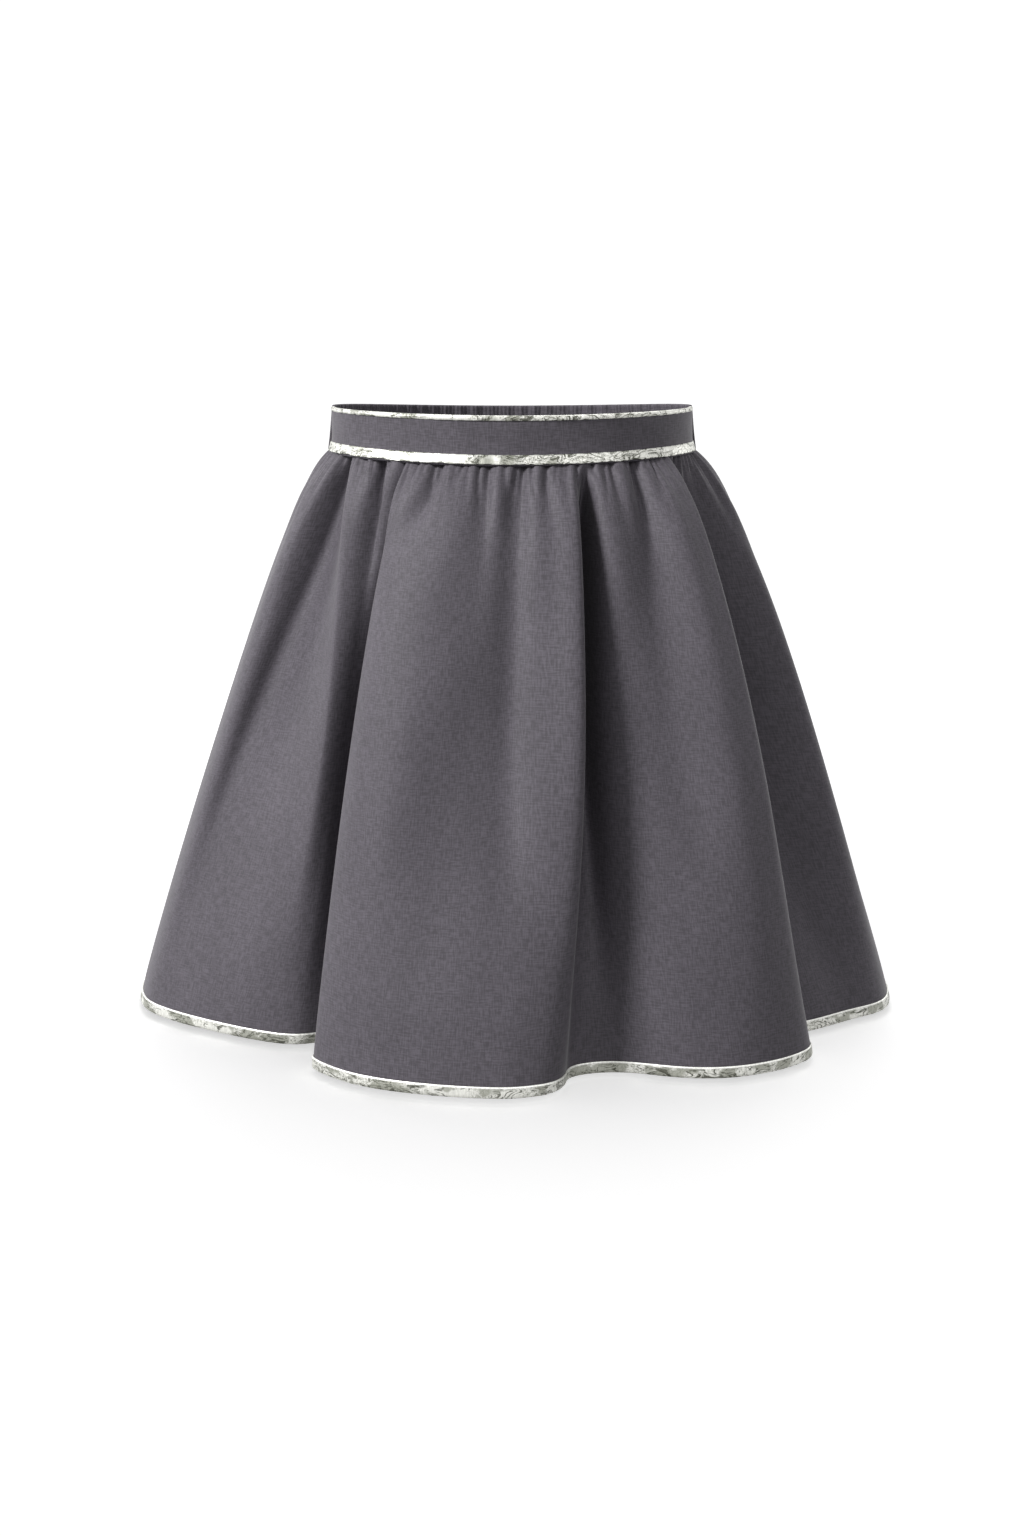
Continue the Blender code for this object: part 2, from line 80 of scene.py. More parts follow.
# Folds of the skirt, once round from the left side seam. Each row is the line of one ridge, flank or
# valley: where it leaves the waist (degrees round, 0 at the front, 90 at the right side), where it
# meets the hem (mm), and how far it swings to the right, swells outwards a quarter of the way down, and
# bellies outwards half way down (mm).
FOLD_COLUMNS = ("line", "waist_deg", "hem_x", "hem_y", "swing", "swell", "belly")
FRONT_FOLDS = (
    ("left_side_seam", -90.0, -268, -8, 0, 2, 0),
    ("left_side", -77.0, -264, -46, 0, 2, 0),
    ("left_roll", -67.5, -257, -63, 0, 2, 0),
    ("left_tuck", -61.5, -244, -79, -10, -11, -1),
    ("left_ridge_edge", -59.0, -205, -109, 10, -10, -4),
    ("left_ridge", -56.0, -168, -130, 20, 2, -1),
    ("left_flank", -46.0, -142, -136, 5, -4, 1),
    ("front_tuck_in", -37.0, -116, -130, 2, -2, -26),
    ("front_tuck", -35.2, -101, -146, 2, -3, -34),
    ("front_tuck_out", -34.3, -118, -166, -1, 2, 0),
    ("front_edge", -33.5, -130, -178, -1.5, 3, 2),
    ("front_roll", -31.0, -121, -195, -1.5, 3, 7),
    ("front_shoulder", -25.0, -98, -215, 0, 2, 11),
    ("front_face", -14.0, -60, -231, 0, 3, 8),
    ("front_middle", -3.5, -19, -239, 0, 0, 1),
    ("centre_tuck", 3.5, 2, -239, -2, -3, -1),
    ("centre_ridge", 6.5, 10, -237, -2, 0, 0),
    ("front_right_face", 13.0, 23, -231, 3, 3, 5),
    ("front_right_edge", 19.3, 33, -215, 8, 6, 6),
    ("middle_tuck_in", 20.9, 36, -204, 5, -9, -4),
    ("middle_tuck", 22.8, 53, -193, 4, -26, -14),
    ("right_cone_edge", 25.0, 75, -192, -4, 2, -16),
    ("right_cone_left", 32.0, 104, -200, 0, 6, -6),
    ("right_cone_face", 40.0, 136, -202, 0, -1, 1),
    ("right_cone_front", 47.0, 165, -192, -2, 9, 8),
    ("right_cone_roll", 53.0, 187, -176, -4, 9, 10),
    ("right_cone_lip", 55.6, 198, -160, -5, 9, 8),
    ("right_tuck_in", 57.0, 196, -140, -4, -8, -5),
    ("right_tuck", 59.0, 188, -124, 0, -33, -10),
    ("right_tuck_out", 62.0, 205, -108, 0, -28, -17),
    ("right_flank", 70.0, 238, -83, 0, -13, -15),
    ("right_side", 80.0, 261, -64, 0, 5, 2),
    ("right_side_front", 86.0, 270, -40, 0, 5, 0),
)
BACK_FOLDS = (
    ("right_side_seam", 90.0, 272, -8, 0, 5, 0),
    ("right_back_side", 100.0, 264, 40, 0, 3, 0),
    ("right_back_roll", 111.0, 240, 84, 0, 0, 0),
    ("right_back_tuck_in", 118.0, 208, 104, 0, -4, -6),
    ("right_back_tuck", 121.5, 194, 118, 0, -6, -12),
    ("back_right_edge", 124.0, 193, 140, 0, 0, 2),
    ("back_right_roll", 130.0, 174, 168, 0, 2, 8),
    ("back_right_face", 140.0, 140, 194, 0, 2, 8),
    ("back_right_flank", 150.0, 104, 203, 0, 0, 0),
    ("back_right_slope", 157.0, 76, 194, 0, -2, -4),
    ("back_middle_tuck", 161.0, 58, 182, 0, -12, -14),
    ("back_middle_edge", 164.0, 44, 190, 0, 0, 2),
    ("back_middle_roll", 168.0, 36, 208, 0, 0, 7),
    ("back_middle_shoulder", 176.0, 12, 229, 0, 3, 9),
    ("back_middle_face", 187.0, -26, 237, 0, 2, 4),
    ("back_middle_flank", 198.0, -62, 226, 0, 0, -4),
    ("back_middle_lip", 204.0, -80, 206, 0, 0, 0),
    ("back_left_tuck_in", 206.5, -82, 188, 0, -6, -6),
    ("back_left_tuck", 209.0, -94, 172, 0, -12, -14),
    ("back_left_edge", 214.0, -120, 172, 0, 0, 2),
    ("back_left_face", 223.0, -156, 170, 0, 3, 9),
    ("back_left_roll", 231.0, -186, 150, 0, 0, 7),
    ("back_left_lip", 235.0, -198, 128, 0, 0, 0),
    ("left_back_tuck", 238.5, -202, 106, 0, -8, -10),
    ("left_back_edge", 243.0, -222, 88, 0, 0, 0),
    ("left_back_face", 252.0, -246, 62, 0, 2, 3),
    ("left_back_side", 262.0, -262, 26, 0, 2, 0),
)
SWELL_PEAK = 0.24  # share of the way down at which the swell is greatest
PUFF = 0.065  # the gathers push the cloth out by this share of its flare just under the seam
PUFF_DROP = 0.03  # and do so within this share of the length
BELL = 0.09  # further outward curve of the skirt half way down

# Gathers under the waist seam. Each is a crease: where it leaves the seam (degrees round), how deep
# it is (mm), its half width on the left and on the right at the seam (degrees), how far down it
# fades out (mm), how far it leans by then (degrees), and how much it has widened by then (times).
FRONT_GATHERS = (
    (-86.5, 4.0, 1.5, 1.5, 25, -1.0, 2.0),
    (-79.5, 5.6, 1.8, 1.4, 45, -1.5, 2.5),
    (-73.5, 3.6, 1.2, 1.2, 22, -0.5, 2.0),
    (-68.0, 5.0, 1.8, 1.2, 40, -1.5, 2.5),
    (-61.0, 12.0, 2.4, 1.8, 100, -2.0, 2.6),
    (-56.6, 3.6, 0.9, 0.9, 18, -0.5, 2.0),
    (-51.6, 5.0, 1.4, 1.2, 24, -1.0, 2.5),
    (-47.0, 3.0, 1.0, 1.0, 16, -0.5, 2.0),
    (-42.8, 12.0, 2.4, 1.2, 66, -1.6, 2.0),
    (-34.2, 7.0, 1.0, 0.8, 18, -1.0, 1.5),
    (-30.6, 3.2, 0.9, 0.9, 14, -1.0, 2.0),
    (-26.6, 2.8, 1.2, 1.0, 16, -2.0, 2.0),
    (-21.4, 9.5, 2.4, 0.9, 48, -7.0, 2.6),
    (-16.8, 4.0, 1.2, 1.2, 16, 0.0, 2.5),
    (-12.8, 4.6, 1.4, 1.0, 22, 0.3, 2.0),
    (-6.8, 9.0, 2.0, 1.2, 80, -2.0, 3.4),
    (-2.0, 4.8, 1.2, 1.0, 20, 1.0, 2.2),
    (3.6, 10.0, 1.9, 1.0, 66, -2.0, 5.0),
    (10.6, 7.4, 1.5, 1.1, 34, 1.0, 2.2),
    (15.0, 4.2, 1.2, 1.0, 16, 0.4, 2.0),
    (19.8, 5.4, 1.0, 0.7, 26, 0.5, 1.4),
    (27.4, 2.6, 0.9, 0.9, 12, 0.0, 2.0),
    (31.0, 7.0, 1.5, 1.0, 30, 0.6, 2.2),
    (39.2, 10.0, 1.6, 1.4, 58, 1.8, 2.4),
    (44.0, 3.0, 0.9, 0.9, 14, 0.4, 2.0),
    (48.6, 4.8, 1.2, 1.0, 22, 1.5, 2.0),
    (52.6, 3.0, 0.9, 0.8, 18, 1.0, 2.0),
    (61.0, 7.0, 1.2, 1.0, 46, 0.8, 2.0),
    (65.8, 4.0, 1.0, 1.0, 26, 1.0, 2.0),
    (70.4, 5.0, 1.2, 1.2, 40, 1.6, 2.2),
    (74.6, 3.4, 1.0, 1.0, 22, 0.8, 2.0),
    (78.2, 6.4, 1.6, 1.4, 60, 2.4, 2.4),
    (84.5, 4.4, 1.4, 1.6, 34, 1.0, 2.0),
)
# The short sharp creases between the front gathers, in the same units. The left wall is the wider one.
FINE_DEPTH, FINE_DEPTH_VARIES = 4.2, 1.7
FINE_REACH, FINE_REACH_VARIES = 15, 6
FINE_LEFT, FINE_RIGHT = 0.9, 0.5
FINE_LEAN, FINE_SPREAD = 0.7, 1.8
# The gathers of the back panel
BACK_GATHERS = 34
BACK_DEPTH, BACK_REACH = 5.0, 40
BACK_LEFT, BACK_ACROSS = 1.3, 2.6  # the left half width, and both together
BACK_SPREAD = 2.4

# Long soft hollows in the hanging cloth, between the folds: where the middle starts and ends (degrees
# round, and mm below the seam), how deep it gets (mm), and its half width on the left and on the right.
HOLLOWS = (
    (0.5, 50, -15.0, 340, 12.5, 12.0, 18.0),
    (-47.0, 90, -50.0, 360, 3.0, 6.0, 4.0),
    (46.0, 60, 40.0, 300, 2.0, 6.0, 6.0),
    (148.0, 60, 154.0, 340, 5.0, 9.0, 9.0),
    (193.0, 40, 186.0, 330, 9.0, 10.0, 10.0),
    (228.0, 60, 224.0, 320, 5.0, 8.0, 8.0),
)

# Sections of the folded trims, as rows up the inside, over the edge and down the outside.
# Top edge trim: distance out from the band's face (mm), share of the trim's width down, further down (mm)
TOP_TRIM_SECTION = (
    (-2.1, 0, 2.2), (-2.5, 0, 2.7), (-2.8, 0, 2.4), (-2.85, 0, 1.5), (-2.75, 0, 0.5), (-2.4, 0, -0.1),
    (-1.8, 0, -0.4), (-1.1, 0, -0.5), (-0.4, 0, -0.4), (0.3, 0, -0.1), (0.75, 0, 0.35), (0.92, 0.2, 0.2),
    (1.0, 0.5, 0), (0.95, 0.75, 0), (0.8, 0.93, 0), (0.5, 1.0, 0), (0.1, 1.0, 0),
)
# Seam trim: distance out from the band's face (mm), share of the trim's width down
SEAM_TRIM_SECTION = (
    (0.2, 1.0), (0.0, 0.5), (-0.1, 0.0), (0.4, 0.0), (0.7, 0.04), (0.9, 0.15), (1.0, 0.35), (1.05, 0.6),
    (1.05, 0.8), (0.95, 0.93), (0.7, 1.0),
)
# Hem binding: height above the hem's lowest line, and distance out from the cloth's face (mm)
BINDING_SECTION = (
    (7.3, 0.1), (7.4, 0.35), (7.2, 0.6), (6.6, 0.74), (5.6, 0.78), (4.4, 0.8), (3.2, 0.82), (2.0, 0.85),
    (1.1, 0.82), (0.45, 0.6), (0.1, 0.2), (0.0, -0.3), (0.1, -0.8), (0.45, -1.2), (1.1, -1.42),
    (2.0, -1.45), (3.2, -1.42), (4.4, -1.4), (5.6, -1.38), (6.6, -1.35), (7.2, -1.2), (7.4, -0.95),
    (7.3, -0.7),
)
HIGHLIGHT_FROM, HIGHLIGHT_TO = -1.9 * MM, -1.2 * MM  # where the painted highlight along the binding's rounded upper edge has faded out, and where it is full, down from its first row
SEAM_COVER = 0.9 * MM  # how far the back band stands over the gathers
STITCHES_OUT, STITCHES_IN = 0.8 * MM, -1.42 * MM  # where the rows of stitches lie, out from the cloth
PUCKER, PUCKER_HIGH = 7.3 * MM, 0.07 * MM  # length and height of the binding's small waves
PUCKER_LONGER, PUCKER_LOWER = 12.1 * MM, 0.05 * MM
PUCKER_WANDER = 31 * MM
RIDE_BELOW = 1.5 * MM  # how far below the seam the gathers have the shape that the seam trim follows
RIDE_IN, RIDE_UP = 0.12, 0.08  # the shares of it that the trim's lower edge follows, inwards and upwards
LIE_DOWN = Matrix.Rotation(math.pi / 2, 4, "Y")  # lays a sphere's poles along the stitch

# Studio
CAMERA_LENS = 50
CAMERA_PLACE = (0, -1.505, 0.0561)
CAMERA_DOWN = 11.8  # degrees below level
FLOOR_HALF = 1.8
FLOOR_BELOW_HEM = 0.004
FLOOR_GLOW = 0.56
LIT_POINT = Vector((0, 0, -0.2))
FILL_STRENGTH = 0.33  # light that the surroundings give
WHITE = 1.1  # the brightness in which they show and are reflected
# The lights: name, degrees round from the front, degrees up, distance, width (m), power (W), and
# whether it lights the light table too, on which the others would cast hard shadows
LIGHTS = (
    ("key", -60, 36, 3.0, 0.8, 120, False),
    ("left edge", -115, 10, 3.0, 0.9, 11, False),
    ("right fill", 30, 36, 3.0, 1.2, 14, False),
    ("right edge", 118, 12, 3.0, 0.9, 11, False),
    ("overhead", 180, 60, 3.0, 2.0, 35, True),
)

# Steps of the fine surface
PANEL_COLUMNS = 480
PANEL_ROWS = 92
BAND_COLUMNS, BAND_ROWS = 220, 14
BACK_BAND_COLUMNS, BACK_BAND_ROWS = 640, 12
HEM_COLUMNS = 1100
SURVEY_COLUMNS = 2000  # places along a panel's hem from which its columns are shared out
TUCKED_IN = -0.008  # share of the way down at which a panel starts, inside the waist seam

WAIST_SHAPE = WAIST_WIDE_TO_DEEP
# An ellipse's perimeter for a half depth of 1, by the usual close approximation
UNIT_ROUND = math.pi * (3 * (1 + WAIST_SHAPE) - math.sqrt((3 + WAIST_SHAPE) * (1 + 3 * WAIST_SHAPE)))
WAIST_HALF_DEEP = WAIST_ROUND / UNIT_ROUND
WAIST_HALF_WIDE = WAIST_HALF_DEEP * WAIST_SHAPE
FULL_DROP = -HEM_LEVEL - SEAM_SIDE
BINDING_COVERS = 0.35 * HEM_BINDING / FULL_DROP  # the cloth ends this share of its length above the hem


def waist_ring(degrees, out=0.0):
    """Points (x, y) of the waist's ellipse, moved out, at these angles round from the front."""
    turn = np.radians(degrees)
    wide, deep = WAIST_HALF_WIDE + out, WAIST_HALF_DEEP + out
    return np.stack([wide * np.sin(turn), -deep * np.cos(turn)], -1)


def ring_outward(degrees):
    """The ellipse's outward direction (x, y) at these angles."""
    turn = np.radians(degrees)
    out = np.stack([WAIST_HALF_DEEP * np.sin(turn), -WAIST_HALF_WIDE * np.cos(turn)], -1)
    return out / np.linalg.norm(out, axis=-1, keepdims=True)


def centre_share(degrees):
    """0 at the side seams and 1 at the front and back centres."""
    return np.cos(np.radians(degrees)) ** 2


def seam_level(degrees):
    """The height of the waist seam, which dips at the front and back centres."""
    return -(SEAM_SIDE + (SEAM_CENTRE - SEAM_SIDE) * centre_share(degrees))


def front_top(degrees):
    """The height of the front band's top edge, which dips at the centre."""
    sides = FRONT_TOP_SIDE + FRONT_TUCK_SIDE
    return -(sides + (FRONT_TOP_CENTRE - sides) * centre_share(degrees))


def trim_stand(degrees):
    """How much of its thickness a waist trim keeps: less towards the side seams, where it is sewn in."""
    return 1 - TRIM_THINNED * (1 - centre_share(degrees)) ** 6


def closed_spline(knots, values, at):
    """A smooth closed curve through the values: a periodic cubic spline."""
    steps = np.diff(knots)
    count = len(steps)
    system = np.zeros((count, count))
    wanted = np.zeros((count, values.shape[1]))
    for i in range(count):
        before, after = steps[i - 1], steps[i]
        system[i, i - 1] += before
        system[i, i] += 2 * (before + after)
        system[i, (i + 1) % count] += after
        rise = (values[(i + 1) % count] - values[i]) / after
        fall = (values[i] - values[i - 1]) / before
        wanted[i] = 6 * (rise - fall)
    bend = np.linalg.solve(system, wanted)
    at = np.mod(at - knots[0], knots[-1] - knots[0]) + knots[0]
    i = np.clip(np.searchsorted(knots, at, side="right") - 1, 0, count - 1)
    j = (i + 1) % count
    step = steps[i][:, None]
    left = (knots[i + 1] - at)[:, None]
    right = (at - knots[i])[:, None]
    return (
        bend[i] * left**3 / (6 * step)
        + bend[j] * right**3 / (6 * step)
        + (values[i] / step - bend[i] * step / 6) * left
        + (values[j] / step - bend[j] * step / 6) * right
    )


def rising_curve(knots, values, at):
    """A curve through rising values that never turns back: a cubic whose slope at each knot is the
    harmonic mean of the slopes beside it."""
    steps = np.diff(knots)
    slopes = np.diff(values) / steps
    tangents = np.concatenate([[slopes[0]], 2 / (1 / slopes[:-1] + 1 / slopes[1:]), [slopes[-1]]])
    i = np.clip(np.searchsorted(knots, at, side="right") - 1, 0, len(steps) - 1)
    t = (at - knots[i]) / steps[i]
    return (
        values[i] * (1 + 2 * t) * (1 - t) ** 2
        + tangents[i] * steps[i] * t * (1 - t) ** 2
        + values[i + 1] * t**2 * (3 - 2 * t)
        + tangents[i + 1] * steps[i] * t**2 * (t - 1)
    )


def fine_gathers():
    """Short sharp creases right under the front seam, one between each two gathers, no two alike."""
    rows = []
    for k, (before, after) in enumerate(zip(FRONT_GATHERS, FRONT_GATHERS[1:])):
        share = 0.5 + 0.16 * math.sin(2.9 * k)
        seam_deg = before[0] + share * (after[0] - before[0])
        depth = FINE_DEPTH + FINE_DEPTH_VARIES * math.sin(1.9 * k + 1)
        reach = FINE_REACH + FINE_REACH_VARIES * math.sin(3.7 * k)
        lean = FINE_LEAN * math.sin(2.3 * k)
        rows.append((seam_deg, depth, FINE_LEFT, FINE_RIGHT, reach, lean, FINE_SPREAD))
    return rows


def back_gathers():
    """Creases of the back panel, evenly spread and then shifted so that no two are alike."""
    rows = []
    for k in range(BACK_GATHERS):
        wobble = math.sin(2.3 * k) + 0.6 * math.sin(5.1 * k + 1)
        seam_deg = 90 + 180 * (k + 0.5) / BACK_GATHERS + 0.9 * wobble
        depth = BACK_DEPTH + 1.6 * wobble
        left = BACK_LEFT + 0.2 * wobble
        reach = BACK_REACH + 22 * math.sin(1.7 * k + 0.4) + 10 * wobble
        rows.append((seam_deg, depth, left, BACK_ACROSS - left, reach, 1.4 * wobble, BACK_SPREAD))
    return rows


class Drape:
    """The skirt's surface: a point for each place round the cloth and each share of the way down."""

    def __init__(self):
        rows = FRONT_FOLDS + BACK_FOLDS
        folds = {name: np.array([row[k] for row in rows]) for k, name in enumerate(FOLD_COLUMNS)}
        hem = np.stack([folds["hem_x"], folds["hem_y"]], -1) * MM
        chords = np.linalg.norm(np.roll(hem, -1, axis=0) - hem, axis=1)
        self.knots = np.concatenate([[0.0], np.cumsum(chords)])
        bulges = np.stack([folds["swing"], folds["swell"], folds["belly"]], -1) * MM
        self.values = np.concatenate([hem, bulges], -1)
        self.waist = np.append(folds["waist_deg"], 270.0)
        self.side = self.knots[len(FRONT_FOLDS)]
        self.round = self.knots[-1]
        self.gathers = [*FRONT_GATHERS, *fine_gathers(), *back_gathers()]

    def waist_degrees(self, along):
        """Where round the waist the cloth comes from, at these lengths along the hem."""
        laps = np.floor(along / self.round)
        return rising_curve(self.knots, self.waist, along - laps * self.round) + 360 * laps

    def gather_depth(self, degrees, drop):
        """How far the gathers' creases press the cloth in, at these places and drops below the seam.
        A crease is shallower and sharper right at the seam, which holds the cloth, than just below."""
        depth = np.zeros(degrees.shape)
        start = 0.6 + 0.4 * (1 - np.exp(-drop / (5 * MM)))
        sharp = 1.25 + 0.75 * (1 - np.exp(-drop / (25 * MM)))
        for seam_deg, deep, left, right, reach, lean, spread in self.gathers:
            down = drop / (reach * MM)
            middle = seam_deg + lean * np.minimum(down, 1.2) ** 2
            away = np.mod(degrees - middle + 180, 360) - 180
            half = np.where(away < 0, left, right) * (1 + (spread - 1) * np.minimum(down, 1.5))
            near = np.abs(away) < 4 * half
            shape = np.exp(-((np.abs(away[near]) / half[near]) ** sharp[near]))
            depth[near] += deep * MM * start[near] * np.exp(-(down[near] ** 1.6)) * shape
        return depth

    def hollow_depth(self, degrees, drop):
        """How far the long hollows press the cloth in."""
        depth = np.zeros(degrees.shape)
        for upper_deg, upper_drop, lower_deg, lower_drop, deep, left, right in HOLLOWS:
            down = (drop / MM - upper_drop) / (lower_drop - upper_drop)
            away = np.mod(degrees - upper_deg - (lower_deg - upper_deg) * down + 180, 360) - 180
            across = np.exp(-((away / np.where(away < 0, left, right)) ** 2))
            depth += deep * MM * np.sin(np.pi * np.clip(down, 0, 1)) ** 1.3 * across
        return depth

    def surface(self, along, down):
        """Points at these lengths along the hem and shares of the way down, as arrays of one shape."""
        shape = np.broadcast(along, down).shape
        along = np.broadcast_to(along, shape).ravel()
        down = np.broadcast_to(down, shape).ravel()
        hem = closed_spline(self.knots, self.values, along)
        degrees = self.waist_degrees(along)
        start = waist_ring(degrees, SEAM_FLARE)
        top = seam_level(degrees)
        below = np.clip(down, 0, 1)
        puff = PUFF * (1 - np.exp(-below / PUFF_DROP)) * np.sqrt(1 - below)
        share = down + puff + BELL * down * (1 - down)
        plan = start + (hem[:, :2] - start) * share[:, None]
        outward = ring_outward(degrees)
        sideways = np.stack([-outward[:, 1], outward[:, 0]], -1)
        swing = hem[:, 2] * np.sin(np.pi * below)
        swell = hem[:, 3] * below / SWELL_PEAK * np.exp(1 - below / SWELL_PEAK) * (1 - below**4)
        belly = hem[:, 4] * np.sin(np.pi * below) ** 1.5
        level = top + (HEM_LEVEL - top) * down
        drop = np.maximum(top - level, 0)
        sewn_flat = np.clip(1 - down / TUCKED_IN, 0.1, 1)  # inside the seam the gathers are pressed flat
        pressed = (self.gather_depth(degrees, drop) + self.hollow_depth(degrees, drop)) * sewn_flat
        plan = plan + sideways * swing[:, None] + outward * (swell + belly - pressed)[:, None]
        return np.concatenate([plan, level[:, None]], -1).reshape(*shape, 3)

    def lifted(self, along, down, out):
        """Points this far off the surface, and the surface's directions there: out, and along the hem."""
        step_along, step_down = 0.8 * MM, 0.002
        across = self.surface(along + step_along, down) - self.surface(along - step_along, down)
        drop = self.surface(along, down + step_down) - self.surface(along, down - step_down)
        normal = np.cross(drop, across)
        normal /= np.linalg.norm(normal, axis=-1, keepdims=True)
        across /= np.linalg.norm(across, axis=-1, keepdims=True)
        return self.surface(along, down) + normal * np.asarray(out)[..., None], normal, across


# Repeats to the metre in the cloths' patterns, across and along. The real threads, about ten to the
# millimetre, are too fine to show, so they are drawn about 1 mm wide and a few millimetres long.
SATIN_WARP, SATIN_WEFT = (1100, 150), (150, 1100)
SATIN_CLOUDS = (34, 16)  # faint patches about 30 mm by 60 mm
BROCADE_THREADS = (1000, 260)
BROCADE_GROUND = 48.0  # off-white and grey patches, about 20 mm each
BROCADE_OUTLINES = (300, 380)  # short fine lines, about 3 mm apart
BROCADE_VEINS = (70, 200)  # longer veins, about 14 mm by 5 mm
OUTLINES_KEPT, VEINS_KEPT = 62.0, 60.0  # patches of about 16 mm in which those lines show
GREY_SHARE, GREY_SHARE_FOLDED = 0.33, 0.45  # noise below this value is grey ground
THREAD_TWIST = 2600.0  # flecks about 0.4 mm apart
ACRYLIC_GRAIN = 900.0  # about 1 mm


def linear(hex_colour):
    """The linear colour of an sRGB hex value."""
    parts = [int(hex_colour[k : k + 2], 16) / 255 for k in (1, 3, 5)]
    return [p / 12.92 if p <= 0.04045 else ((p + 0.055) / 1.055) ** 2.4 for p in parts] + [1.0]


def add_node(tree, kind, settings=None, links=None, **inputs):
    """One node of a material, with its settings, its input values and what is linked into it."""
    node = tree.nodes.new(kind)
    for name, value in (settings or {}).items():
        setattr(node, name, value)
    for name, value in inputs.items():
        node.inputs[name.replace("_", " ")].default_value = value
    for name, socket in (links or {}).items():
        tree.links.new(socket, node.inputs[name])
    return node


def new_material(name):
    """A material of this name with no nodes yet, and its node tree."""
    material = bpy.data.materials.new(name)
    material.use_nodes = True
    material.node_tree.nodes.clear()
    return material, material.node_tree


def finish_material(tree, shader):
    """Puts the shader on the surface."""
    output = tree.nodes.new("ShaderNodeOutputMaterial")
    tree.links.new(shader.outputs[0], output.inputs["Surface"])


def streaks(tree, cloth, per_metre_across, per_metre_along, detail=2.0):
    """Noise drawn out into threads: this many to the metre across the cloth and along it."""
    scale = add_node(tree, "ShaderNodeMapping", links={"Vector": cloth})
    scale.inputs["Scale"].default_value = (per_metre_across, per_metre_along, 1)
    return add_node(
        tree, "ShaderNodeTexNoise", {"noise_dimensions": "2D"}, {"Vector": scale.outputs[0]},
        Scale=1.0, Detail=detail, Roughness=0.55,
    ).outputs["Fac"]


def satin():
    """Polyester duchess satin, woven and calendered: matt to the eye, with a soft grey bloom where it
    turns away, a fine grain of threads both ways, and faint clouds of lighter and darker cloth."""
    material, tree = new_material("grey_duchess_satin")
    cloth = add_node(tree, "ShaderNodeUVMap", {"uv_map": "cloth"}).outputs[0]
    warp = streaks(tree, cloth, *SATIN_WARP)
    weft = streaks(tree, cloth, *SATIN_WEFT)
    cloudy = streaks(tree, cloth, *SATIN_CLOUDS, 3.0)
    threads = add_node(tree, "ShaderNodeMath", {"operation": "MULTIPLY_ADD"}, {0: weft, 2: warp})
    threads.inputs[1].default_value = 0.9
    threads = threads.outputs[0]
    shade = add_node(
        tree, "ShaderNodeMapRange", links={"Value": threads},
        From_Min=0.72, From_Max=1.18, To_Min=0.0, To_Max=1.0,
    ).outputs[0]
    colour = add_node(tree, "ShaderNodeMix", {"data_type": "RGBA"}, {0: shade})
    colour.inputs[6].default_value = linear("#434045")
    colour.inputs[7].default_value = linear("#57535a")
    clouded = add_node(
        tree, "ShaderNodeMix", {"data_type": "RGBA", "blend_type": "MULTIPLY"}, {6: colour.outputs[2]},
    )
    clouded.inputs[0].default_value = 1.0
    clouds = add_node(
        tree, "ShaderNodeMapRange", links={"Value": cloudy},
        From_Min=0.3, From_Max=0.7, To_Min=0.93, To_Max=1.06,
    ).outputs[0]
    tree.links.new(clouds, clouded.inputs[7])
    bump = add_node(tree, "ShaderNodeBump", links={"Height": threads}, Strength=0.2, Distance=0.0002)
    shader = add_node(
        tree, "ShaderNodeBsdfPrincipled",
        links={"Base Color": clouded.outputs[2], "Normal": bump.outputs[0]},
        Roughness=0.62, Sheen_Weight=0.25, Sheen_Roughness=0.35,
    )
    shader.inputs["Specular IOR Level"].default_value = 0.2
    finish_material(tree, shader)
    return material


def contour(tree, strip, turn, scale, width, wander):
    """Thin wandering lines: the places where a smooth noise, turned and stretched, has its middle value."""
    place = add_node(tree, "ShaderNodeMapping", links={"Vector": strip})
    place.inputs["Rotation"].default_value = (0, 0, math.radians(turn))
    place.inputs["Scale"].default_value = (*scale, 1)
    noise = add_node(
        tree, "ShaderNodeTexNoise", {"noise_dimensions": "2D"}, {"Vector": place.outputs[0]},
        Scale=1.0, Detail=3.0, Roughness=0.6, Distortion=wander,
    ).outputs["Fac"]
    away = add_node(tree, "ShaderNodeMath", {"operation": "SUBTRACT"}, {0: noise})
    away.inputs[1].default_value = 0.5
    away = add_node(tree, "ShaderNodeMath", {"operation": "ABSOLUTE"}, {0: away.outputs[0]}).outputs[0]
    return add_node(
        tree, "ShaderNodeMapRange", {"interpolation_type": "SMOOTHSTEP"}, {"Value": away},
        From_Min=0.0, From_Max=width, To_Min=1.0, To_Max=0.0,
    ).outputs[0]


def patches(tree, strip, per_metre, low, high):
    """Soft patches of this many to the metre, 0 below the low value of their noise and 1 above the high."""
    noise = add_node(
        tree, "ShaderNodeTexNoise", {"noise_dimensions": "2D"}, {"Vector": strip},
        Scale=per_metre, Detail=2.0,
    ).outputs["Fac"]
    return add_node(
        tree, "ShaderNodeMapRange", links={"Value": noise},
        From_Min=low, From_Max=high, To_Min=0.0, To_Max=1.0,
    ).outputs[0]


def mixed(tree, share, first, second):
    """A mix of two colours, each a hex value or another node's colour."""
    mix = add_node(tree, "ShaderNodeMix", {"data_type": "RGBA"}, {0: share})
    for socket, colour in ((mix.inputs[6], first), (mix.inputs[7], second)):
        if isinstance(colour, str):
            socket.default_value = linear(colour)
        else:
            tree.links.new(colour, socket)
    return mix.outputs[2]


